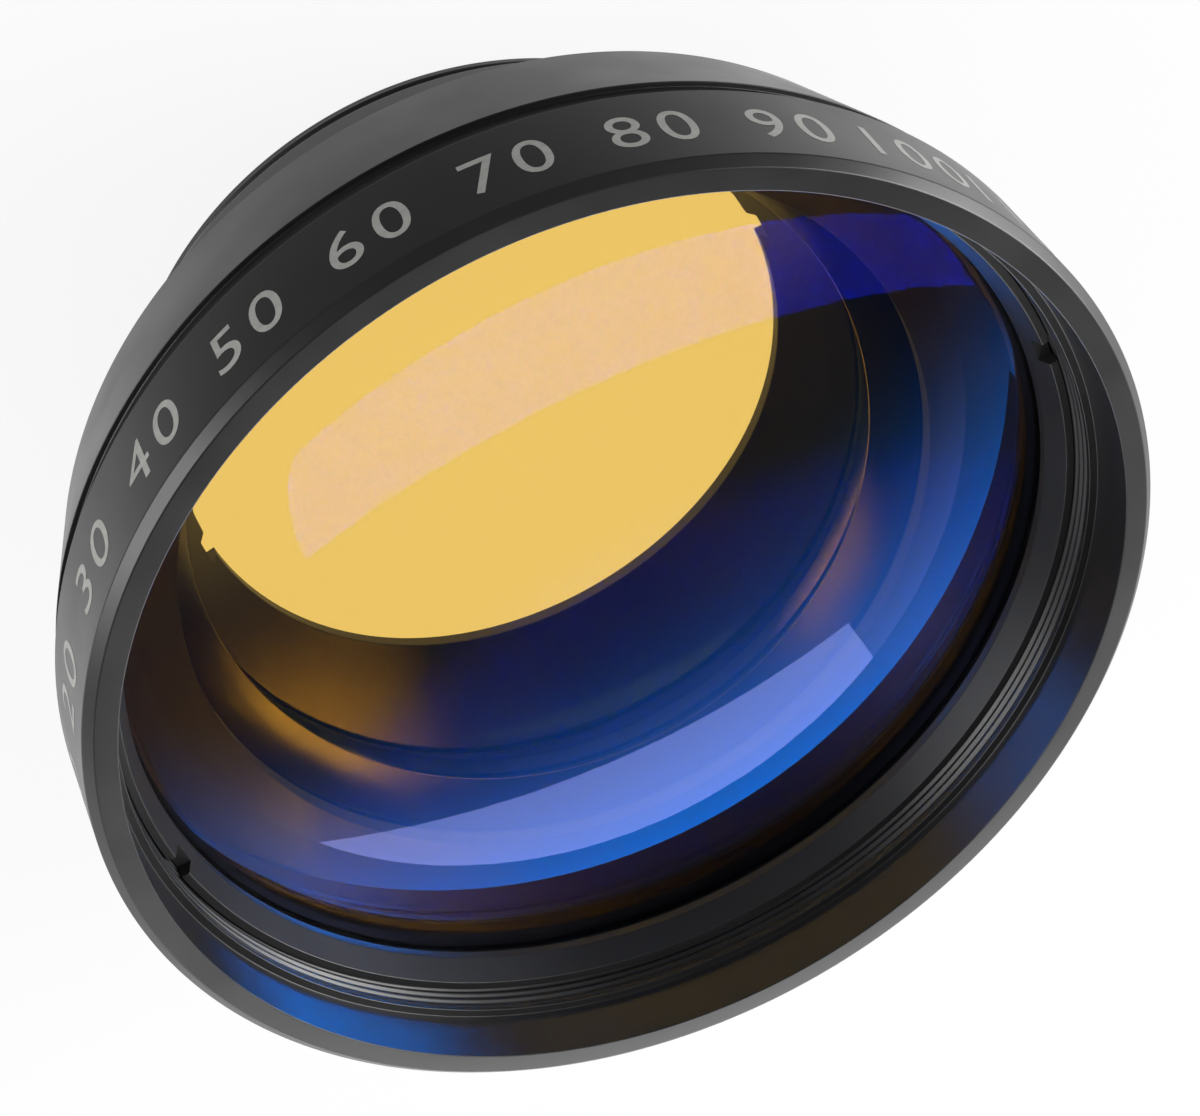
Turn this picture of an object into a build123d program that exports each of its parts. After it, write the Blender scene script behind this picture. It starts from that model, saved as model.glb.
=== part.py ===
"""Large-aperture f-theta scan lens: a turned barrel that holds three glass elements.

Z = 0 is the rear end of the mounting thread and +Z runs along the optical axis to the front face.
Lengths are in millimetres. Every glass surface is a dome whose centre lies towards the rear.
"""

import math
import os

from build123d import *

# Radii, stepped inwards from the body to the mounting thread by walls and margins
body_r = 59.0
rim_wall = 3.5
front_thread_step = 1.0
front_lens_margin = 0.3
middle_lens_step = 10.7
rear_lens_step = 5.5
rear_thread_step = 1.0
mount_wall = 3.5
seating_width = 2.5
taper_front_drop = 0.8
taper_rear_drop = 4.6

rim_bore_r = body_r - rim_wall
front_thread_r = rim_bore_r - front_thread_step
front_lens_r = front_thread_r - front_lens_margin
middle_lens_r = front_lens_r - middle_lens_step
rear_lens_r = middle_lens_r - rear_lens_step
rear_thread_r = rear_lens_r + rear_thread_step
mount_thread_r = rear_thread_r + mount_wall
neck_r = mount_thread_r + seating_width
taper_front_r = body_r - taper_front_drop
taper_rear_r = body_r - taper_rear_drop

# Outside of the barrel, from the rear end to the front face
mount_thread_length = 6.0
mount_thread_edge = 0.6
neck_edge = 0.5
taper_step_margin = 1.2
groove_width = 3.5
groove_depth = 1.4
front_band_length = 14.0
front_edge = 1.0

# Bores of the barrel
rear_recess_depth = 0.7
rear_mouth_edge = 0.5
lip_width = 2.4
lip_length = 4.0
middle_pocket_margin = 1.5
cone_top_margin = 2.0
front_recess_depth = 10.0
rim_bore_depth = 6.5

# Rear lens, a negative element
rear_lens_edge_thickness = 9.3
rear_lens_front_dome = 400.0
rear_lens_front_rim = 2.4
rear_lens_rear_dome = 100.0
rear_lens_rear_rim = 2.2

# Middle lens, a positive meniscus
middle_lens_edge_thickness = 4.5
middle_lens_front_dome = 95.0
middle_lens_front_rim = 1.6
middle_lens_rear_dome = 200.0
middle_lens_rear_rim = 2.0

# Front lens, the large positive element
front_lens_edge_thickness = 6.5
front_lens_front_dome = 207.0
front_lens_front_rim = 1.6
front_lens_rear_dome = 900.0
front_lens_rear_rim = 2.7

# Spacer, seals and retaining rings
front_air_gap = 1.7354
spacer_foot_height = 2.2
spacer_throat_height = 2.5
spacer_top_band = 1.3
spacer_top_width = 3.2
seal_thickness = 0.5
front_ring_height = 4.0
front_ring_reach = 2.2
front_ring_flare = 1.2
front_ring_flare_height = 3.0
rear_ring_height = 6.0
rear_ring_reach = 3.4
rear_ring_taper = 4.1
rear_ring_lip = 0.8
slot_width = 3.0
slot_depth = 1.6
slot_count = 2

# Edges and clearances
lens_edge = 0.4
lens_clearance = 0.05
thread_clearance = 0.05
spacer_clearance = 0.1


def dome_height(radius, clear_r):
    """Height of a spherical dome over its clear radius."""
    return radius - math.sqrt(radius**2 - clear_r**2)


# Clear radii of the glass, inside its flat rims
rear_lens_front_clear_r = rear_lens_r - rear_lens_front_rim
rear_lens_rear_clear_r = rear_lens_r - rear_lens_rear_rim
middle_lens_front_clear_r = middle_lens_r - middle_lens_front_rim
middle_lens_rear_clear_r = middle_lens_r - middle_lens_rear_rim
front_lens_front_clear_r = front_lens_r - front_lens_front_rim
front_lens_rear_clear_r = front_lens_r - front_lens_rear_rim

# The spacer is as high as the two facing domes and the air between them need
middle_dome_height = dome_height(middle_lens_front_dome, middle_lens_front_clear_r)
front_hollow_height = dome_height(front_lens_rear_dome, front_lens_rear_clear_r)
spacer_height = middle_dome_height + front_air_gap - front_hollow_height

# Stations along the axis, inside, stacked forwards from the rear recess
rear_ring_z = rear_recess_depth
rear_seal_z = rear_ring_z + rear_ring_height
rear_lens_z = rear_seal_z + seal_thickness
lip_z = rear_lens_z + rear_lens_edge_thickness
middle_lens_z = lip_z + lip_length
spacer_z = middle_lens_z + middle_lens_edge_thickness
front_lens_z = spacer_z + spacer_height
front_seal_z = front_lens_z + front_lens_edge_thickness
front_ring_z = front_seal_z + seal_thickness
front_ring_top_z = front_ring_z + front_ring_height
cone_z = spacer_z + middle_pocket_margin
cone_top_z = front_lens_z - cone_top_margin

# Stations along the axis, outside, stacked rearwards from the front face
front_z = front_ring_top_z + front_recess_depth
front_band_z = front_z - front_band_length
groove_z = front_band_z - groove_width
taper_z = spacer_z - taper_step_margin
shoulder_z = mount_thread_length


def outline_face(points):
    """Closed face with its corners at (radius, z) points, in the plane of the axis."""
    with BuildSketch(Plane.XZ) as face:
        with BuildLine():
            Polyline(*points, close=True)
        make_face()
    return face.sketch


def lens_face(z, thickness, lens_r, front_dome, front_clear_r, rear_dome, rear_clear_r):
    """Half section of one glass element whose flat rear edge lies at z."""
    top_z = z + thickness
    front_pole = (0, top_z + dome_height(front_dome, front_clear_r))
    rear_pole = (0, z + dome_height(rear_dome, rear_clear_r))
    with BuildSketch(Plane.XZ) as face:
        with BuildLine():
            RadiusArc(front_pole, (front_clear_r, top_z), front_dome)
            Polyline(
                (front_clear_r, top_z),
                (lens_r - lens_edge, top_z),
                (lens_r, top_z - lens_edge),
                (lens_r, z + lens_edge),
                (lens_r - lens_edge, z),
                (rear_clear_r, z),
            )
            RadiusArc((rear_clear_r, z), rear_pole, -rear_dome)
            Line(rear_pole, front_pole)
        make_face()
    return face.sketch


# Barrel, turned from one aluminium billet
outside = [
    (mount_thread_r - mount_thread_edge, 0),
    (mount_thread_r, mount_thread_edge),
    (mount_thread_r, shoulder_z),
    (neck_r - neck_edge, shoulder_z),
    (neck_r, shoulder_z + neck_edge),
    (neck_r, taper_z),
    (taper_rear_r, taper_z),
    (taper_front_r, groove_z),
    (body_r - groove_depth, groove_z),
    (body_r - groove_depth, front_band_z),
    (body_r, front_band_z),
    (body_r, front_z - front_edge),
    (body_r - front_edge, front_z),
]
inside = [
    (rim_bore_r, front_z),
    (rim_bore_r, front_z - rim_bore_depth),
    (front_thread_r, front_z - rim_bore_depth),
    (front_thread_r, front_seal_z),
    (front_lens_r + lens_clearance, front_seal_z),
    (front_lens_r + lens_clearance, cone_top_z),
    (middle_lens_r + lens_clearance, cone_z),
    (middle_lens_r + lens_clearance, middle_lens_z),
    (middle_lens_rear_clear_r, middle_lens_z),
    (rear_lens_r - lip_width, lip_z),
    (rear_lens_r + lens_clearance, lip_z),
    (rear_lens_r + lens_clearance, rear_lens_z),
    (rear_thread_r, rear_lens_z),
    (rear_thread_r, rear_mouth_edge),
    (rear_thread_r + rear_mouth_edge, 0),
]
with BuildPart() as main_barrel:
    revolve(outline_face(outside + inside), axis=Axis.Z)
main_barrel.part.label = "main_barrel"

# Glass, from the rear to the front
rear_lens_section = lens_face(
    rear_lens_z,
    rear_lens_edge_thickness,
    rear_lens_r,
    rear_lens_front_dome,
    rear_lens_front_clear_r,
    rear_lens_rear_dome,
    rear_lens_rear_clear_r,
)
with BuildPart() as rear_lens:
    revolve(rear_lens_section, axis=Axis.Z)
rear_lens.part.label = "rear_lens"

middle_lens_section = lens_face(
    middle_lens_z,
    middle_lens_edge_thickness,
    middle_lens_r,
    middle_lens_front_dome,
    middle_lens_front_clear_r,
    middle_lens_rear_dome,
    middle_lens_rear_clear_r,
)
with BuildPart() as middle_lens:
    revolve(middle_lens_section, axis=Axis.Z)
middle_lens.part.label = "middle_lens"

front_lens_section = lens_face(
    front_lens_z,
    front_lens_edge_thickness,
    front_lens_r,
    front_lens_front_dome,
    front_lens_front_clear_r,
    front_lens_rear_dome,
    front_lens_rear_clear_r,
)
with BuildPart() as front_lens:
    revolve(front_lens_section, axis=Axis.Z)
front_lens.part.label = "front_lens"

# Conical spacer that stands on the middle lens and carries the front lens
spacer_foot_r = middle_lens_r - spacer_clearance
spacer_top_r = front_lens_r - spacer_clearance
spacer_outline = [
    (middle_lens_front_clear_r, spacer_z),
    (spacer_foot_r, spacer_z),
    (spacer_foot_r, spacer_z + spacer_foot_height),
    (spacer_top_r, front_lens_z - spacer_top_band),
    (spacer_top_r, front_lens_z),
    (front_lens_r - spacer_top_width, front_lens_z),
    (middle_lens_front_clear_r, spacer_z + spacer_throat_height),
]
with BuildPart() as spacer_ring:
    revolve(outline_face(spacer_outline), axis=Axis.Z)
spacer_ring.part.label = "spacer_ring"

# Thin seals between the glass and the metal rings
with BuildPart() as front_seal:
    with BuildSketch(Plane.XY.offset(front_seal_z)):
        Circle(front_lens_r - spacer_clearance)
        Circle(front_lens_front_clear_r, mode=Mode.SUBTRACT)
    extrude(amount=seal_thickness)
front_seal.part.label = "front_seal"

with BuildPart() as rear_seal:
    with BuildSketch(Plane.XY.offset(rear_seal_z)):
        Circle(rear_lens_r - spacer_clearance)
        Circle(rear_lens_rear_clear_r, mode=Mode.SUBTRACT)
    extrude(amount=seal_thickness)
rear_seal.part.label = "rear_seal"

# Threaded retaining rings, flared towards the outside and slotted for a pin spanner
front_ring_outer_r = front_thread_r - thread_clearance
front_ring_clear_r = front_thread_r - front_ring_reach
front_ring_outline = [
    (front_ring_clear_r, front_ring_z),
    (front_ring_outer_r, front_ring_z),
    (front_ring_outer_r, front_ring_top_z),
    (front_ring_clear_r + front_ring_flare, front_ring_top_z),
    (front_ring_clear_r, front_ring_top_z - front_ring_flare_height),
]
with BuildPart() as front_retaining_ring:
    revolve(outline_face(front_ring_outline), axis=Axis.Z)
    with BuildSketch(Plane.XY.offset(front_ring_top_z - slot_depth)):
        with PolarLocations(front_ring_outer_r, slot_count):
            Rectangle(4 * front_ring_reach, slot_width)
    extrude(amount=slot_depth, mode=Mode.SUBTRACT)
front_retaining_ring.part.label = "front_retaining_ring"

rear_ring_outer_r = rear_thread_r - thread_clearance
rear_ring_clear_r = rear_thread_r - rear_ring_reach
rear_ring_throat_r = rear_ring_clear_r - rear_ring_taper
rear_ring_outline = [
    (rear_ring_throat_r, rear_ring_z),
    (rear_ring_outer_r, rear_ring_z),
    (rear_ring_outer_r, rear_seal_z),
    (rear_ring_clear_r, rear_seal_z),
    (rear_ring_throat_r, rear_ring_z + rear_ring_lip),
]
with BuildPart() as rear_retaining_ring:
    revolve(outline_face(rear_ring_outline), axis=Axis.Z)
    with BuildSketch(Plane.XY.offset(rear_ring_z)):
        with PolarLocations(rear_ring_outer_r, slot_count):
            Rectangle(4 * (rear_ring_reach + rear_ring_taper), slot_width)
    extrude(amount=slot_depth, mode=Mode.SUBTRACT)
rear_retaining_ring.part.label = "rear_retaining_ring"

pieces = [
    main_barrel,
    rear_retaining_ring,
    rear_seal,
    rear_lens,
    middle_lens,
    spacer_ring,
    front_lens,
    front_seal,
    front_retaining_ring,
]
os.makedirs("parts", exist_ok=True)
for piece in pieces:
    export_step(piece.part, f"parts/{piece.part.label}.step")
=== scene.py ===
"""Studio model of a large f-theta scan lens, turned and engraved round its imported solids."""

import math

import bmesh
import bpy
from mathutils import Matrix, Vector


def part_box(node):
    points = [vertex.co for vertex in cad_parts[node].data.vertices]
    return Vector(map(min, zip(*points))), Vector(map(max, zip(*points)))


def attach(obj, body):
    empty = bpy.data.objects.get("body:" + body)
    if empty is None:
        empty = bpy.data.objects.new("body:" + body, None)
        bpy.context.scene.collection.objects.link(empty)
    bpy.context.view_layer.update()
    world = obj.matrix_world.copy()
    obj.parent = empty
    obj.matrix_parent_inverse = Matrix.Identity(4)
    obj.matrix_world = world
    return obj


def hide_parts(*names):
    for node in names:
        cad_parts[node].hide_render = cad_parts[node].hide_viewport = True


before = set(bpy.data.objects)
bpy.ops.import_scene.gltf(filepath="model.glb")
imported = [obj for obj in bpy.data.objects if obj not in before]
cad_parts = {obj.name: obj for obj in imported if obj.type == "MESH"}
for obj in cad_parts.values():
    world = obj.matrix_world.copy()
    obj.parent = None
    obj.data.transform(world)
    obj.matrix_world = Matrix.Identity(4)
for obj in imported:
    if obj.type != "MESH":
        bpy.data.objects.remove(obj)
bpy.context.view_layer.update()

bl_info = {
    "name": "F-Theta Scan Lens",
    "version": (1, 0, 0),
    "blender": (4, 5, 0),
    "location": "View3D > Sidebar > Scan Lens",
    "description": "Builds the visible pieces, finishes and studio of a large f-theta scan lens",
    "category": "Object",
}

MM = 0.001
FULL_TURN = 2 * math.pi

# Outside of the barrel, in millimetres, from the rear end to the front face
MOUNT_THREAD_R = 42.5
MOUNT_THREAD_LENGTH = 6.0
MOUNT_THREAD_EDGE = 0.6
NECK_R = 45.0
NECK_EDGE = 0.5
TAPER_Z = 23.8
TAPER_REAR_R = 54.4
TAPER_FRONT_R = 58.2
# A hair under the solid's radius, so that the numbers on the band stay inside its box
BODY_R = 58.97
GROOVE_Z = 38.5
GROOVE_WIDTH = 3.5
GROOVE_DEPTH = 1.4
FRONT_EDGE = 1.0

# Bores of the barrel, in millimetres
REAR_THREAD_R = 39.0
REAR_MOUTH_EDGE = 0.5
LIP_R = 35.6
LIP_SEAT_R = 41.5
CONE_MARGIN = 1.5
CONE_LENGTH = 6.5
FRONT_THREAD_R = 54.5
RIM_BORE_R = 55.5
RIM_BORE_DEPTH = 6.5
LENS_CLEARANCE = 0.05

# Glass, in millimetres: clear radii of the front and rear domes, from the front lens to the rear lens
FRONT_LENS_CLEAR = (52.6, 51.5)
MIDDLE_LENS_CLEAR = (41.9, 41.5)
REAR_LENS_CLEAR = (35.6, 35.8)
FRONT_LENS_R = 54.2
MIDDLE_LENS_R = 43.5
REAR_LENS_R = 38.0
FRONT_LENS_EDGE = 6.5
MIDDLE_LENS_EDGE = 4.5
REAR_LENS_EDGE = 9.3
LENS_BEVEL = 0.4

# Radii of the hollow rear domes, in millimetres, steps of a dome's arc, and the angle, in degrees, up to
# which the glass is shaded smooth
REAR_DOMES = {"front_lens": 900.0, "middle_lens": 200.0, "rear_lens": 100.0}
DOME_STEPS = 48
SMOOTH_ANGLE = 12

# Rings, seals and spacer, in millimetres
FRONT_RING_FLARE_HEIGHT = 3.0
REAR_RING_LIP = 0.8
FRONT_RING_CLEAR_R = 52.3
FRONT_RING_FLARE_R = 53.5
REAR_RING_CLEAR_R = 35.6
REAR_RING_THROAT_R = 31.5
RING_GAP = 0.05
SLOT_WIDTH = 3.0
SLOT_DEPTH = 1.6
SPACER_GAP = 0.1
SPACER_FOOT_HEIGHT = 2.2
SPACER_THROAT_HEIGHT = 2.5
SPACER_TOP_BAND = 1.3
SPACER_TOP_CLEAR_R = 51.0

# Threads cut into plain walls: rows of faces a pitch, and the rest in millimetres
THREAD_ROWS = 8
THREAD_MARGIN = 0.2
FRONT_THREAD_DEPTH = 0.4

# Numbers round the front band: angles in degrees, a digit's share of its font size, the rest in millimetres
NUMBER_FIRST_ANGLE = -18
NUMBER_STEP_ANGLE = -14
NUMBER_MIDDLE_DEPTH = 7.2
NUMBER_STANDOFF = 0.015
NUMBER_STRIP = 0.6
DIGIT_SHARE = 0.69

# Camera, in metres, with the directions that run right and up in its frame
CAMERA_PLACE = (0.0, -0.20314, 0.26488)
CAMERA_RIGHT = (-0.86115, 0.37620, 0.34190)
CAMERA_UP = (-0.50833, -0.64364, -0.57213)
CAMERA_LENS = 84.0
FILM_WIDTH = 36.0

# Soft lights: name, place, width and height in metres, and watts
LIGHTS = [
    ("key_light", (-0.75, 0.15, 0.45), 0.5, 0.6, 7),
    ("side_light", (0.6, -0.35, 0.30), 0.4, 0.5, 2.5),
    ("back_light", (0.15, 0.8, 0.35), 0.7, 0.4, 4),
]
LIGHTS_AIM = (0, 0, 0.04)

# Bands of brightness: where each starts and ends, and its strength at both ends.
# The sky's are directions, the table's is metres along Y.
WALL_BAND = (0.45, 0.66, 1.0, 0.02)
PANEL_BAND = (0.74, 0.82, 0.01, 1.25)
BEHIND_BAND = (0.0, 0.35, 0.05, 1.0)
TABLE_BAND = (-0.095, -0.02, 0.08, 1.0)
ROOM_BRIGHTNESS = 0.45

# Floor: half its side in metres, its drop under the lens in millimetres, and how white the camera sees it
FLOOR_REACH = 3.0
FLOOR_DROP = 0.02
FLOOR_WHITENESS = 0.88


class ScanLensSizes(bpy.types.PropertyGroup):
    """Sizes of the details that the solids leave out."""

    steps: bpy.props.IntProperty(
        name="Turning Steps",
        description="Faces round a turned piece",
        default=256,
        min=32,
    )
    edge_rounding: bpy.props.FloatProperty(
        name="Edge Rounding",
        description="Radius of the broken edges of the turned metal",
        default=0.18 * MM,
        unit="LENGTH",
    )
    thread_pitch: bpy.props.FloatProperty(
        name="Thread Pitch",
        description="Pitch of the mounting thread and of the front thread",
        default=1.0 * MM,
        unit="LENGTH",
    )
    thread_depth: bpy.props.FloatProperty(
        name="Thread Depth",
        description="Depth of the thread from crest to root",
        default=0.55 * MM,
        unit="LENGTH",
    )
    number_height: bpy.props.FloatProperty(
        name="Number Height",
        description="Height of the engraved numbers",
        default=5.7 * MM,
        unit="LENGTH",
    )
    number_first: bpy.props.IntProperty(
        name="First Number",
        description="First engraved number, and the step between the numbers",
        default=10,
    )
    number_count: bpy.props.IntProperty(
        name="Numbers",
        description="How many numbers are engraved on the front band",
        default=11,
    )


class ScanLensFinishes(bpy.types.PropertyGroup):
    """Colours of the finishes."""

    anodised: bpy.props.FloatVectorProperty(
        name="Anodised Black",
        description="Colour of the black anodised barrel",
        subtype="COLOR",
        size=3,
        default=(0.0125, 0.0125, 0.0135),
    )
    engraving: bpy.props.FloatVectorProperty(
        name="Engraving",
        description="Colour of the engraved numbers",
        subtype="COLOR",
        size=3,
        default=(0.42, 0.42, 0.40),
    )
    blue_passed: bpy.props.FloatVectorProperty(
        name="Blue Coating, Passed",
        description="Colour that the strong blue coating passes",
        subtype="COLOR",
        size=3,
        default=(0.90, 0.64, 0.18),
    )
    blue_mirrored: bpy.props.FloatVectorProperty(
        name="Blue Coating, Mirrored",
        description="Colour that the strong blue coating mirrors",
        subtype="COLOR",
        size=3,
        default=(0.0, 0.16, 0.80),
    )
    clear_mirrored: bpy.props.FloatVectorProperty(
        name="Clear Coating, Mirrored",
        description="Colour that the weakest coating mirrors",
        subtype="COLOR",
        size=3,
        default=(0.002, 0.006, 0.010),
    )
    violet_passed: bpy.props.FloatVectorProperty(
        name="Violet Coating, Passed",
        description="Colour that the weak violet coating passes",
        subtype="COLOR",
        size=3,
        default=(0.985, 0.97, 0.93),
    )
    violet_mirrored: bpy.props.FloatVectorProperty(
        name="Violet Coating, Mirrored",
        description="Colour that the weak violet coating mirrors",
        subtype="COLOR",
        size=3,
        default=(0.022, 0.026, 0.060),
    )


def settings():
    """Sizes and finishes of the scene at hand."""
    scene = bpy.context.scene
    return scene.scan_lens_sizes, scene.scan_lens_finishes


def low_z(node):
    """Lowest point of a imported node, in millimetres."""
    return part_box(node)[0][2] / MM


def high_z(node):
    """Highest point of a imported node, in millimetres."""
    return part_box(node)[1][2] / MM


def finished_object(name, mesh, material, smooth=True):
    """Object made of a bmesh, with its faces turned outwards."""
    bmesh.ops.remove_doubles(mesh, verts=mesh.verts[:], dist=1e-7)
    bmesh.ops.recalc_face_normals(mesh, faces=mesh.faces[:])
    data = bpy.data.meshes.new(name)
    mesh.to_mesh(data)
    mesh.free()
    data.materials.append(material)
    if smooth:
        data.shade_smooth()
    piece = bpy.data.objects.new(name, data)
    bpy.context.scene.collection.objects.link(piece)
    return piece


def keep_flats(piece):
    """Weight the normals so that wide faces stay flat beside their rounded edges."""
    weigh = piece.modifiers.new("flats", "WEIGHTED_NORMAL")
    weigh.mode = "FACE_AREA"
    weigh.weight = 100
    weigh.keep_sharp = True


def outline_wire(mesh, outline, rounding):
    """Closed wire with rounded corners in the XZ plane, from (radius, z) corners in millimetres."""
    corners = [mesh.verts.new((r * MM, 0, z * MM)) for r, z in outline]
    mesh.faces.new(corners)
    bmesh.ops.bevel(
        mesh,
        geom=corners,
        offset=rounding,
        offset_type="OFFSET",
        segments=3,
        profile=0.5,
        affect="VERTICES",
        clamp_overlap=True,
        material=-1,
    )
    bmesh.ops.delete(mesh, geom=mesh.faces[:], context="FACES_ONLY")


def spin_wire(mesh, steps):
    """Turn whatever wire the mesh holds about the optical axis."""
    bmesh.ops.spin(
        mesh,
        geom=mesh.verts[:] + mesh.edges[:],
        cent=(0, 0, 0),
        axis=(0, 0, 1),
        angle=FULL_TURN,
        steps=steps,
        use_merge=True,
    )


def long_wall(mesh, radius, low, high):
    """The wire's straight edge along the axis at a radius, between two heights, in metres."""
    for edge in mesh.edges:
        a, b = sorted(v.co.z for v in edge.verts)
        on_wall = all(abs(v.co.x - radius) < 1e-6 for v in edge.verts)
        if on_wall and b - a > 0.5 * MM and a > low - 1e-6 and b < high + 1e-6:
            return edge
    raise RuntimeError(f"no straight wall at radius {radius} between {low} and {high}")


def cut_thread(mesh, radius, low, high, pitch, depth):
    """Move the rows of a turned wall in and out along a screw line, fading out at both ends."""
    fade = 0.6 * pitch
    for vert in mesh.verts:
        reach = math.hypot(vert.co.x, vert.co.y)
        if abs(reach - radius) > 1e-6 or not low <= vert.co.z <= high:
            continue
        turn = math.atan2(vert.co.y, vert.co.x) / FULL_TURN
        phase = (vert.co.z / pitch - turn) % 1.0
        flank = abs(2 * phase - 1)
        ends = min(vert.co.z - low, high - vert.co.z) / fade
        sunk = depth * flank * max(0.0, min(1.0, ends))
        vert.co.xy *= (radius - sunk) / radius


def new_material(name):
    """Empty node material with its output and one main shader."""
    material = bpy.data.materials.new(name)
    material.use_nodes = True
    tree = material.node_tree
    shader = tree.nodes["Principled BSDF"]
    return material, tree, shader


def object_noise(tree, scale, detail, stretch=(1, 1, 1)):
    """Noise on the piece's own coordinates, in noise cells per metre."""
    place = tree.nodes.new("ShaderNodeTexCoord")
    mapping = tree.nodes.new("ShaderNodeMapping")
    mapping.inputs["Scale"].default_value = stretch
    noise = tree.nodes.new("ShaderNodeTexNoise")
    noise.inputs["Scale"].default_value = scale
    noise.inputs["Detail"].default_value = detail
    tree.links.new(place.outputs["Object"], mapping.inputs["Vector"])
    tree.links.new(mapping.outputs["Vector"], noise.inputs["Vector"])
    return noise.outputs["Fac"]


def map_range(tree, value, low, high):
    """Turn a 0 to 1 value into a range."""
    node = tree.nodes.new("ShaderNodeMapRange")
    node.inputs["From Min"].default_value = 0.3
    node.inputs["From Max"].default_value = 0.7
    node.inputs["To Min"].default_value = low
    node.inputs["To Max"].default_value = high
    tree.links.new(value, node.inputs["Value"])
    return node.outputs["Result"]


def ramp_colours(tree, value, low, high):
    """Blend two colours by a value."""
    node = tree.nodes.new("ShaderNodeMix")
    node.data_type = "RGBA"
    node.inputs["A"].default_value = (*low, 1)
    node.inputs["B"].default_value = (*high, 1)
    tree.links.new(value, node.inputs["Factor"])
    return node.outputs["Result"]


def anodised_metal(name, colour, roughness, turned_marks):
    """Black anodised aluminium with fine turning marks and a slightly uneven sheen."""
    material, tree, shader = new_material(name)
    shader.inputs["Metallic"].default_value = 0.0
    shader.inputs["Specular IOR Level"].default_value = 0.9
    cloud = object_noise(tree, 90, 3)
    shade = ramp_colours(tree, cloud, [c * 0.85 for c in colour], [c * 1.2 for c in colour])
    tree.links.new(shade, shader.inputs["Base Color"])
    rough = map_range(tree, cloud, roughness - 0.03, roughness + 0.04)
    tree.links.new(rough, shader.inputs["Roughness"])
    marks = object_noise(tree, 60, 2, stretch=(0.2, 0.2, 90))
    grain = object_noise(tree, 2600, 1)
    marks_bump = tree.nodes.new("ShaderNodeBump")
    marks_bump.inputs["Strength"].default_value = turned_marks
    marks_bump.inputs["Distance"].default_value = 0.01 * MM
    grain_bump = tree.nodes.new("ShaderNodeBump")
    grain_bump.inputs["Strength"].default_value = 0.12
    grain_bump.inputs["Distance"].default_value = 0.01 * MM
    tree.links.new(marks, marks_bump.inputs["Height"])
    tree.links.new(grain, grain_bump.inputs["Height"])
    tree.links.new(marks_bump.outputs["Normal"], grain_bump.inputs["Normal"])
    tree.links.new(grain_bump.outputs["Normal"], shader.inputs["Normal"])
    return material


def coated_glass(name, passed_colour, mirrored_colour):
    """Polished glass under a coating that passes one colour and mirrors another."""
    material = bpy.data.materials.new(name)
    material.use_nodes = True
    tree = material.node_tree
    tree.nodes.clear()
    output = tree.nodes.new("ShaderNodeOutputMaterial")
    passed = tree.nodes.new("ShaderNodeBsdfRefraction")
    passed.inputs["Color"].default_value = (*passed_colour, 1)
    passed.inputs["Roughness"].default_value = 0.0
    passed.inputs["IOR"].default_value = 1.5
    mirrored = tree.nodes.new("ShaderNodeBsdfGlossy")
    mirrored.inputs["Color"].default_value = (*mirrored_colour, 1)
    mirrored.inputs["Roughness"].default_value = 0.0
    both = tree.nodes.new("ShaderNodeAddShader")
    tree.links.new(passed.outputs["BSDF"], both.inputs[0])
    tree.links.new(mirrored.outputs["BSDF"], both.inputs[1])
    tree.links.new(both.outputs["Shader"], output.inputs["Surface"])
    return material


def ground_glass_painted_light(name):
    """Ground rim of a thick element, shaded as a softly mirroring pale metal whose greenish cream colour is
    painted light for the bright backdrop seen through the glass.
    """
    material, tree, shader = new_material(name)
    grain = object_noise(tree, 500, 2)
    # Painted light: the pale greenish cream stands in for the white backdrop seen through the tinted
    # lenses, not a colour of the glass edge.
    shade = ramp_colours(tree, grain, (0.40, 0.42, 0.30), (0.55, 0.56, 0.42))
    tree.links.new(shade, shader.inputs["Base Color"])
    shader.inputs["Metallic"].default_value = 1.0
    shader.inputs["Roughness"].default_value = 0.22
    return material


def matt_paint(name, colour, roughness):
    """Matt coat with a faint grain, such as an inked glass edge or a rubber seal."""
    material, tree, shader = new_material(name)
    grain = object_noise(tree, 700, 2)
    shade = ramp_colours(tree, grain, [c * 0.8 for c in colour], [c * 1.25 for c in colour])
    tree.links.new(shade, shader.inputs["Base Color"])
    shader.inputs["Roughness"].default_value = roughness
    return material


def engraved_silver(name):
    """Bright metal bared by the engraver, dulled unevenly."""
    finishes = settings()[1]
    material, tree, shader = new_material(name)
    colour = list(finishes.engraving)
    patches = object_noise(tree, 900, 3)
    shade = ramp_colours(tree, patches, [c * 0.75 for c in colour], [min(1, c * 1.2) for c in colour])
    tree.links.new(shade, shader.inputs["Base Color"])
    shader.inputs["Metallic"].default_value = 0.35
    shader.inputs["Roughness"].default_value = 0.5
    return material


def finish(name):
    """A finish by its name, made once."""
    if name in bpy.data.materials:
        return bpy.data.materials[name]
    finishes = settings()[1]
    colour = list(finishes.anodised)
    makers = {
        "anodised_barrel": lambda: anodised_metal(name, colour, 0.36, 0.10),
        "anodised_ring": lambda: anodised_metal(name, [c * 1.3 for c in colour], 0.42, 0.08),
        "spacer_black": lambda: anodised_metal(name, [c * 0.8 for c in colour], 0.55, 0.3),
        "blue_coating": lambda: coated_glass(name, finishes.blue_passed, finishes.blue_mirrored),
        "violet_coating": lambda: coated_glass(name, finishes.violet_passed, finishes.violet_mirrored),
        "clear_coating": lambda: coated_glass(name, finishes.violet_passed, finishes.clear_mirrored),
        # The rear element's ground edge carries painted light: its colour stands in for the backdrop seen
        # through the glass.
        "ground_edge_painted_light": lambda: ground_glass_painted_light(name),
        "inked_edge": lambda: matt_paint(name, (0.012, 0.012, 0.012), 0.7),
        "seal_black": lambda: matt_paint(name, (0.02, 0.02, 0.02), 0.8),
        "engraved_silver": lambda: engraved_silver(name),
    }
    return makers[name]()


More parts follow.
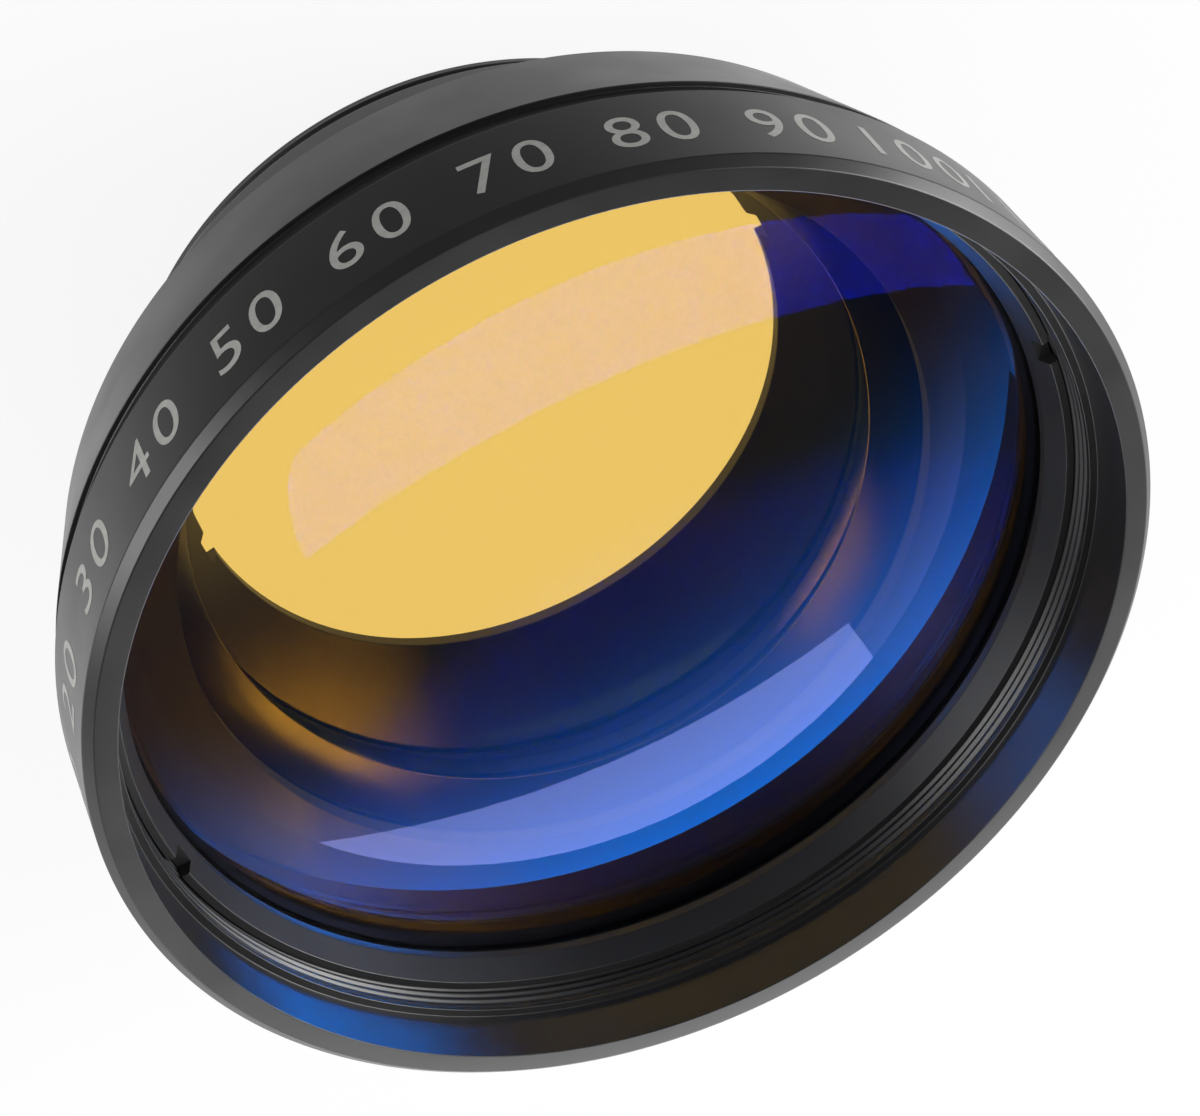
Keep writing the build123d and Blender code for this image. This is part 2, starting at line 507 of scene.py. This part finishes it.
def turned_metal(name, outline, material):
    """Piece turned from a closed outline, with broken edges."""
    sizes = settings()[0]
    mesh = bmesh.new()
    outline_wire(mesh, outline, sizes.edge_rounding)
    spin_wire(mesh, sizes.steps)
    piece = finished_object(name, mesh, material)
    keep_flats(piece)
    return piece


def place(piece, node, slot):
    """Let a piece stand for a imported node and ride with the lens."""
    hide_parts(node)
    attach(piece, "root")


def barrel_outline():
    """Corners of the barrel's half section, in millimetres."""
    front_z = high_z("main_barrel")
    shoulder_z = MOUNT_THREAD_LENGTH
    groove_top_z = GROOVE_Z + GROOVE_WIDTH
    groove_r = BODY_R - GROOVE_DEPTH
    front_seal_z = low_z("front_seal")
    cone_z = low_z("spacer_ring") + CONE_MARGIN
    lip_z = low_z("rear_lens") + REAR_LENS_EDGE
    front_pocket_r = FRONT_LENS_R + LENS_CLEARANCE
    middle_pocket_r = MIDDLE_LENS_R + LENS_CLEARANCE
    rear_pocket_r = REAR_LENS_R + LENS_CLEARANCE
    outside = [
        (MOUNT_THREAD_R - MOUNT_THREAD_EDGE, 0),
        (MOUNT_THREAD_R, MOUNT_THREAD_EDGE),
        (MOUNT_THREAD_R, shoulder_z),
        (NECK_R - NECK_EDGE, shoulder_z),
        (NECK_R, shoulder_z + NECK_EDGE),
        (NECK_R, TAPER_Z),
        (TAPER_REAR_R, TAPER_Z),
        (TAPER_FRONT_R, GROOVE_Z),
        (groove_r, GROOVE_Z),
        (groove_r, groove_top_z),
        (BODY_R, groove_top_z),
        (BODY_R, front_z - FRONT_EDGE),
        (BODY_R - FRONT_EDGE, front_z),
    ]
    inside = [
        (RIM_BORE_R, front_z),
        (RIM_BORE_R, front_z - RIM_BORE_DEPTH),
        (FRONT_THREAD_R, front_z - RIM_BORE_DEPTH),
        (FRONT_THREAD_R, front_seal_z),
        (front_pocket_r, front_seal_z),
        (front_pocket_r, cone_z + CONE_LENGTH),
        (middle_pocket_r, cone_z),
        (middle_pocket_r, low_z("middle_lens")),
        (LIP_SEAT_R, low_z("middle_lens")),
        (LIP_R, lip_z),
        (rear_pocket_r, lip_z),
        (rear_pocket_r, low_z("rear_lens")),
        (REAR_THREAD_R, low_z("rear_lens")),
        (REAR_THREAD_R, REAR_MOUTH_EDGE),
        (REAR_THREAD_R + REAR_MOUTH_EDGE, 0),
    ]
    return outside + inside


class SCANLENS_OT_barrel(bpy.types.Operator):
    """Turn the barrel, with its mounting thread and the thread of the front recess"""

    bl_idname = "scanlens.barrel"
    bl_label = "Barrel"

    def execute(self, context):
        sizes = settings()[0]
        front_z = high_z("main_barrel")
        shoulder_z = MOUNT_THREAD_LENGTH
        walls = [
            (MOUNT_THREAD_R * MM, MOUNT_THREAD_EDGE * MM, shoulder_z * MM, sizes.thread_depth),
            (
                FRONT_THREAD_R * MM,
                low_z("front_seal") * MM,
                (front_z - RIM_BORE_DEPTH) * MM,
                -FRONT_THREAD_DEPTH * MM,
            ),
        ]
        mesh = bmesh.new()
        outline_wire(mesh, barrel_outline(), sizes.edge_rounding)
        for radius, low, high, _ in walls:
            wall = long_wall(mesh, radius, low, high)
            rows = int((high - low) / sizes.thread_pitch * THREAD_ROWS)
            bmesh.ops.subdivide_edges(mesh, edges=[wall], cuts=rows)
        spin_wire(mesh, sizes.steps)
        margin = THREAD_MARGIN * MM
        for radius, low, high, depth in walls:
            cut_thread(mesh, radius, low + margin, high - margin, sizes.thread_pitch, depth)
        piece = finished_object("barrel", mesh, finish("anodised_barrel"))
        keep_flats(piece)
        place(piece, "main_barrel", "black_anodised")
        return {"FINISHED"}


def slotted_ring(name, node, outline, slot_floor, slot_side, wall_r):
    """Retaining ring turned from its outline, with two spanner slots cut across its wall."""
    sizes = settings()[0]
    mesh = bmesh.new()
    outline_wire(mesh, outline, sizes.edge_rounding * 0.5)
    spin_wire(mesh, sizes.steps)
    piece = finished_object(name, mesh, finish("anodised_ring"))
    cutter = bmesh.new()
    bmesh.ops.create_cube(cutter, size=1.0)
    past_the_ring = 1.2
    reach = 2 * wall_r * past_the_ring
    middle = slot_floor + slot_side * SLOT_DEPTH
    bmesh.ops.transform(
        cutter,
        matrix=Matrix.Translation((0, 0, middle * MM))
        @ Matrix.Diagonal((reach * MM, SLOT_WIDTH * MM, 2 * SLOT_DEPTH * MM, 1)),
        verts=cutter.verts[:],
    )
    tool = finished_object(name + "_cutter", cutter, finish("anodised_ring"), smooth=False)
    cut = piece.modifiers.new("slots", "BOOLEAN")
    cut.operation = "DIFFERENCE"
    cut.solver = "EXACT"
    cut.object = tool
    bpy.context.view_layer.update()
    seen = piece.evaluated_get(bpy.context.evaluated_depsgraph_get())
    slotted = bpy.data.meshes.new_from_object(seen)
    piece.modifiers.clear()
    piece.data = slotted
    bpy.data.objects.remove(tool)
    keep_flats(piece)
    place(piece, node, "black_ring")
    return piece


class SCANLENS_OT_front_ring(bpy.types.Operator):
    """Turn and slot the front retaining ring"""

    bl_idname = "scanlens.front_ring"
    bl_label = "Front Retaining Ring"

    def execute(self, context):
        low = low_z("front_retaining_ring")
        top = high_z("front_retaining_ring")
        outer_r = FRONT_THREAD_R - RING_GAP
        outline = [
            (FRONT_RING_CLEAR_R, low),
            (outer_r, low),
            (outer_r, top),
            (FRONT_RING_FLARE_R, top),
            (FRONT_RING_CLEAR_R, top - FRONT_RING_FLARE_HEIGHT),
        ]
        slotted_ring("front_ring", "front_retaining_ring", outline, top - SLOT_DEPTH, 1, outer_r)
        return {"FINISHED"}


class SCANLENS_OT_rear_ring(bpy.types.Operator):
    """Turn and slot the rear retaining ring"""

    bl_idname = "scanlens.rear_ring"
    bl_label = "Rear Retaining Ring"

    def execute(self, context):
        low = low_z("rear_retaining_ring")
        top = high_z("rear_retaining_ring")
        outer_r = REAR_THREAD_R - RING_GAP
        outline = [
            (REAR_RING_THROAT_R, low),
            (outer_r, low),
            (outer_r, top),
            (REAR_RING_CLEAR_R, top),
            (REAR_RING_THROAT_R, low + REAR_RING_LIP),
        ]
        slotted_ring("rear_ring", "rear_retaining_ring", outline, low + SLOT_DEPTH, -1, outer_r)
        return {"FINISHED"}


class SCANLENS_OT_spacer(bpy.types.Operator):
    """Turn the conical spacer between the middle lens and the front lens"""

    bl_idname = "scanlens.spacer"
    bl_label = "Spacer Ring"

    def execute(self, context):
        low = low_z("spacer_ring")
        top = high_z("spacer_ring")
        foot_r = MIDDLE_LENS_R - SPACER_GAP
        top_r = FRONT_LENS_R - SPACER_GAP
        throat_r = MIDDLE_LENS_CLEAR[0]
        outline = [
            (throat_r, low),
            (foot_r, low),
            (foot_r, low + SPACER_FOOT_HEIGHT),
            (top_r, top - SPACER_TOP_BAND),
            (top_r, top),
            (SPACER_TOP_CLEAR_R, top),
            (throat_r, low + SPACER_THROAT_HEIGHT),
        ]
        place(turned_metal("conical_spacer", outline, finish("spacer_black")), "spacer_ring", "black_ring")
        return {"FINISHED"}


class SCANLENS_OT_seals(bpy.types.Operator):
    """Make the two flat seals between the glass and the rings"""

    bl_idname = "scanlens.seals"
    bl_label = "Seals"

    def execute(self, context):
        seals = {
            "front_seal": (FRONT_LENS_CLEAR[0], FRONT_LENS_R - SPACER_GAP),
            "rear_seal": (REAR_LENS_CLEAR[1], REAR_LENS_R - SPACER_GAP),
        }
        for node, (inner_r, outer_r) in seals.items():
            low, top = low_z(node), high_z(node)
            outline = [(inner_r, low), (outer_r, low), (outer_r, top), (inner_r, top)]
            piece = turned_metal(node + "_washer", outline, finish("seal_black"))
            place(piece, node, "seal")
        return {"FINISHED"}


def spin_dome(mesh, pole, edge, clear_r, steps):
    """Arc of verts from a dome's pole down to its clear radius, in millimetres.

    The last vert, at the clear radius, is given back.
    """
    height = pole - edge
    radius = (clear_r**2 + height**2) / (2 * height)
    top = mesh.verts.new((0, 0, pole * MM))
    arc = bmesh.ops.spin(
        mesh,
        geom=[top],
        cent=(0, 0, (pole - radius) * MM),
        axis=(0, 1, 0),
        angle=math.asin(clear_r / radius),
        steps=steps,
    )
    return next(item for item in arc["geom_last"] if isinstance(item, bmesh.types.BMVert))


def glass_element(name, node, lens_r, edge_height, clear, finishes):
    """One polished element with its flat rims and edge; finishes are its front, rear and edge."""
    sizes = settings()[0]
    low = low_z(node)
    top = low + edge_height
    front_clear_r, rear_clear_r = clear
    rear_pole = rear_lens_pole(node, rear_clear_r, low)
    mesh = bmesh.new()
    front_edge = spin_dome(mesh, high_z(node), top, front_clear_r, DOME_STEPS)
    rear_edge = spin_dome(mesh, rear_pole, low, rear_clear_r, DOME_STEPS)
    rim = [
        (lens_r - LENS_BEVEL, top),
        (lens_r, top - LENS_BEVEL),
        (lens_r, low + LENS_BEVEL),
        (lens_r - LENS_BEVEL, low),
    ]
    chain = [front_edge] + [mesh.verts.new((r * MM, 0, z * MM)) for r, z in rim] + [rear_edge]
    for a, b in zip(chain, chain[1:]):
        mesh.edges.new((a, b))
    spin_wire(mesh, sizes.steps)
    front_finish, rear_finish, edge_finish = finishes
    piece = finished_object(name, mesh, finish(front_finish))
    piece.data.materials.append(finish(rear_finish))
    piece.data.materials.append(finish(edge_finish))
    for face in piece.data.polygons:
        reach = face.center.xy.length
        height = face.center.z / MM
        on_front_dome = face.normal.z > 0.2 and reach < front_clear_r * MM
        on_rear_dome = face.normal.z < -0.2 and reach < rear_clear_r * MM
        face.material_index = 0 if on_front_dome else 1 if on_rear_dome else 2
    piece.data.set_sharp_from_angle(angle=math.radians(SMOOTH_ANGLE))
    place(piece, node, "coated_glass")
    return piece


def rear_lens_pole(node, clear_r, low):
    """Height of the pole of an element's hollow rear dome, in millimetres."""
    radius = REAR_DOMES[node]
    return low + radius - math.sqrt(radius**2 - clear_r**2)


class SCANLENS_OT_glass(bpy.types.Operator):
    """Grind the three glass elements"""

    bl_idname = "scanlens.glass"
    bl_label = "Glass"

    def execute(self, context):
        glass_element(
            "front_glass",
            "front_lens",
            FRONT_LENS_R,
            FRONT_LENS_EDGE,
            FRONT_LENS_CLEAR,
            ("violet_coating", "blue_coating", "inked_edge"),
        )
        glass_element(
            "middle_glass",
            "middle_lens",
            MIDDLE_LENS_R,
            MIDDLE_LENS_EDGE,
            MIDDLE_LENS_CLEAR,
            ("clear_coating", "clear_coating", "inked_edge"),
        )
        glass_element(
            "rear_glass",
            "rear_lens",
            REAR_LENS_R,
            REAR_LENS_EDGE,
            REAR_LENS_CLEAR,
            # The rear element's edge finish is painted light for the backdrop seen through the glass.
            ("clear_coating", "clear_coating", "ground_edge_painted_light"),
        )
        return {"FINISHED"}


class SCANLENS_OT_numbers(bpy.types.Operator):
    """Engrave plain numbers round the front band"""

    bl_idname = "scanlens.numbers"
    bl_label = "Numbers"

    def execute(self, context):
        sizes = settings()[0]
        band_middle = (high_z("main_barrel") - NUMBER_MIDDLE_DEPTH) * MM
        radius = (BODY_R + NUMBER_STANDOFF) * MM
        mesh = bmesh.new()
        for place_no in range(sizes.number_count):
            text = str(sizes.number_first * (place_no + 1))
            angle = math.radians(NUMBER_FIRST_ANGLE + place_no * NUMBER_STEP_ANGLE)
            add_number(mesh, text, sizes.number_height, radius, band_middle, angle)
        piece = finished_object("engraved_numbers", mesh, finish("engraved_silver"), smooth=False)
        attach(piece, "root")
        return {"FINISHED"}


def add_number(mesh, text, height, radius, middle, angle):
    """Wrap one number round the band with its foot towards the front, into a bmesh."""
    curve = bpy.data.curves.new("number", "FONT")
    curve.body = text
    curve.size = height / DIGIT_SHARE
    curve.space_character = 1.25
    curve.align_x = "CENTER"
    curve.extrude = 0.0
    curve.resolution_u = 6
    letter = bpy.data.objects.new("number", curve)
    bpy.context.scene.collection.objects.link(letter)
    bpy.context.view_layer.update()
    flat = bpy.data.meshes.new_from_object(letter.evaluated_get(bpy.context.evaluated_depsgraph_get()))
    bpy.data.objects.remove(letter)
    bpy.data.curves.remove(curve)
    part = bmesh.new()
    part.from_mesh(flat)
    bpy.data.meshes.remove(flat)
    bmesh.ops.remove_doubles(part, verts=part.verts[:], dist=1e-6)
    half = max(abs(vert.co.x) for vert in part.verts)
    cuts = int(2 * half / (NUMBER_STRIP * MM))
    for cut in range(1, cuts):
        across = half * (2 * cut / cuts - 1)
        everything = part.verts[:] + part.edges[:] + part.faces[:]
        bmesh.ops.bisect_plane(part, geom=everything, plane_co=(across, 0, 0), plane_no=(1, 0, 0))
    for vert in part.verts:
        across, up = vert.co.x, vert.co.y - height / 2
        turn = angle - across / radius
        vert.co = Vector((radius * math.cos(turn), radius * math.sin(turn), middle - up))
    data = bpy.data.meshes.new("number")
    part.to_mesh(data)
    part.free()
    mesh.from_mesh(data)
    bpy.data.meshes.remove(data)


def light_path_mix(tree, plain, bright, weights):
    """Mix two shaders by how a ray came; weights say how far each Light Path output turns to bright."""
    path = tree.nodes.new("ShaderNodeLightPath")
    total = None
    for output, weight in weights.items():
        part = tree.nodes.new("ShaderNodeMath")
        part.operation = "MULTIPLY"
        part.inputs[1].default_value = weight
        tree.links.new(path.outputs[output], part.inputs[0])
        if total is None:
            total = part.outputs[0]
            continue
        join = tree.nodes.new("ShaderNodeMath")
        join.operation = "MAXIMUM"
        tree.links.new(total, join.inputs[0])
        tree.links.new(part.outputs[0], join.inputs[1])
        total = join.outputs[0]
    mix = tree.nodes.new("ShaderNodeMixShader")
    tree.links.new(total, mix.inputs["Fac"])
    tree.links.new(plain, mix.inputs[1])
    tree.links.new(bright, mix.inputs[2])
    return mix.outputs["Shader"]


def white_floor():
    """Pale floor that the camera and the glass see as white, with a faint shadow.

    Metal mirrors it as white behind and beside the lens, and as a dark table in front of it.
    """
    material = bpy.data.materials.new("floor_white")
    material.use_nodes = True
    tree = material.node_tree
    tree.nodes.clear()
    output = tree.nodes.new("ShaderNodeOutputMaterial")
    matt = tree.nodes.new("ShaderNodeBsdfDiffuse")
    matt.inputs["Color"].default_value = (0.82, 0.82, 0.82, 1)
    glow = tree.nodes.new("ShaderNodeEmission")
    glow.inputs["Color"].default_value = (1, 1, 1, 1)
    place = tree.nodes.new("ShaderNodeTexCoord")
    split = tree.nodes.new("ShaderNodeSeparateXYZ")
    tree.links.new(place.outputs["Object"], split.inputs["Vector"])
    table = tree.nodes.new("ShaderNodeEmission")
    table.inputs["Color"].default_value = (1, 1, 1, 1)
    tree.links.new(sky_band(tree, split.outputs["Y"], *TABLE_BAND), table.inputs["Strength"])
    weights = {"Is Camera Ray": FLOOR_WHITENESS, "Is Transmission Ray": 1.0}
    seen = light_path_mix(tree, matt.outputs["BSDF"], glow.outputs["Emission"], weights)
    shader = light_path_mix(tree, seen, table.outputs["Emission"], {"Is Glossy Ray": 1.0})
    tree.links.new(shader, output.inputs["Surface"])
    return material


def sky_band(tree, height, low, high, at_low, at_high):
    """Brightness that turns from one value to another between two heights of the sky."""
    band = tree.nodes.new("ShaderNodeMapRange")
    band.interpolation_type = "SMOOTHSTEP"
    band.inputs["From Min"].default_value = low
    band.inputs["From Max"].default_value = high
    band.inputs["To Min"].default_value = at_low
    band.inputs["To Max"].default_value = at_high
    tree.links.new(height, band.inputs["Value"])
    return band.outputs["Result"]


def times(tree, a, b):
    """Product of two values."""
    product = tree.nodes.new("ShaderNodeMath")
    product.operation = "MULTIPLY"
    tree.links.new(a, product.inputs[0])
    tree.links.new(b, product.inputs[1])
    return product.outputs[0]


def sky(tree, strength):
    """White sky of a strength, which is a number or a value of the tree."""
    shader = tree.nodes.new("ShaderNodeBackground")
    shader.inputs["Color"].default_value = (1, 1, 1, 1)
    if isinstance(strength, float):
        shader.inputs["Strength"].default_value = strength
    else:
        tree.links.new(strength, shader.inputs["Strength"])
    return shader.outputs["Background"]


def studio_world():
    """Soft grey room whose pale wall stands behind the lens, with a soft white panel above it."""
    world = bpy.data.worlds.new("studio")
    world.use_nodes = True
    tree = world.node_tree
    tree.nodes.clear()
    output = tree.nodes.new("ShaderNodeOutputWorld")
    place = tree.nodes.new("ShaderNodeTexCoord")
    split = tree.nodes.new("ShaderNodeSeparateXYZ")
    tree.links.new(place.outputs["Generated"], split.inputs["Vector"])
    behind = sky_band(tree, split.outputs["Y"], *BEHIND_BAND)
    wall = times(tree, sky_band(tree, split.outputs["Z"], *WALL_BAND), behind)
    panel = times(tree, sky_band(tree, split.outputs["Z"], *PANEL_BAND), behind)
    for_metal = light_path_mix(tree, sky(tree, ROOM_BRIGHTNESS), sky(tree, wall), {"Is Glossy Ray": 1.0})
    for_glass = light_path_mix(tree, for_metal, sky(tree, panel), {"Is Transmission Ray": 1.0})
    shader = light_path_mix(tree, for_glass, sky(tree, 1.0), {"Is Camera Ray": 1.0})
    tree.links.new(shader, output.inputs["Surface"])
    return world


def soft_light(name, place, aim, width, height, watts):
    """Rectangular soft light turned towards a point."""
    lamp = bpy.data.lights.new(name, "AREA")
    lamp.shape = "RECTANGLE"
    lamp.size = width
    lamp.size_y = height
    lamp.energy = watts
    holder = bpy.data.objects.new(name, lamp)
    holder.location = place
    holder.rotation_euler = (Vector(aim) - Vector(place)).to_track_quat("-Z", "Y").to_euler()
    bpy.context.scene.collection.objects.link(holder)
    return holder


class SCANLENS_OT_studio(bpy.types.Operator):
    """Lay the floor, hang the lights and set the camera"""

    bl_idname = "scanlens.studio"
    bl_label = "Studio"

    def execute(self, context):
        scene = context.scene
        scene.view_settings.view_transform = "Standard"
        ground = bmesh.new()
        bmesh.ops.create_grid(ground, x_segments=1, y_segments=1, size=FLOOR_REACH)
        bmesh.ops.translate(ground, verts=ground.verts[:], vec=(0, 0, -FLOOR_DROP * MM))
        floor = finished_object("floor", ground, white_floor(), smooth=False)
        scene.world = studio_world()
        for name, place, width, height, watts in LIGHTS:
            soft_light(name, place, LIGHTS_AIM, width, height, watts)
        film = bpy.data.cameras.new("camera")
        film.sensor_fit = "HORIZONTAL"
        film.sensor_width = FILM_WIDTH
        film.lens = CAMERA_LENS
        film.clip_start = 0.01
        camera = bpy.data.objects.new("camera", film)
        right, up = Vector(CAMERA_RIGHT), Vector(CAMERA_UP)
        axes = Matrix((right, up, right.cross(up))).transposed()
        camera.matrix_world = Matrix.Translation(CAMERA_PLACE) @ axes.to_4x4()
        scene.collection.objects.link(camera)
        scene.camera = camera
        return {"FINISHED"}


class SCANLENS_PT_panel(bpy.types.Panel):
    """Sizes, finishes and building steps of the scan lens"""

    bl_idname = "SCANLENS_PT_panel"
    bl_label = "Scan Lens"
    bl_space_type = "VIEW_3D"
    bl_region_type = "UI"
    bl_category = "Scan Lens"

    def draw(self, context):
        sizes, finishes = settings()
        for group in (sizes, finishes):
            box = self.layout.box()
            for name in group.__annotations__:
                box.prop(group, name)
        for operator in OPERATORS:
            self.layout.operator(operator.bl_idname)


OPERATORS = [
    SCANLENS_OT_barrel,
    SCANLENS_OT_front_ring,
    SCANLENS_OT_rear_ring,
    SCANLENS_OT_spacer,
    SCANLENS_OT_seals,
    SCANLENS_OT_glass,
    SCANLENS_OT_numbers,
    SCANLENS_OT_studio,
]
CLASSES = [ScanLensSizes, ScanLensFinishes, *OPERATORS, SCANLENS_PT_panel]


def register():
    for item in CLASSES:
        bpy.utils.register_class(item)
    bpy.types.Scene.scan_lens_sizes = bpy.props.PointerProperty(type=ScanLensSizes)
    bpy.types.Scene.scan_lens_finishes = bpy.props.PointerProperty(type=ScanLensFinishes)


def unregister():
    del bpy.types.Scene.scan_lens_finishes
    del bpy.types.Scene.scan_lens_sizes
    for item in reversed(CLASSES):
        bpy.utils.unregister_class(item)


def main():
    """Build every piece and the studio."""
    register()
    bpy.ops.scanlens.barrel()
    bpy.ops.scanlens.front_ring()
    bpy.ops.scanlens.rear_ring()
    bpy.ops.scanlens.spacer()
    bpy.ops.scanlens.seals()
    bpy.ops.scanlens.glass()
    bpy.ops.scanlens.numbers()
    bpy.ops.scanlens.studio()


if __name__ == "__main__":
    main()
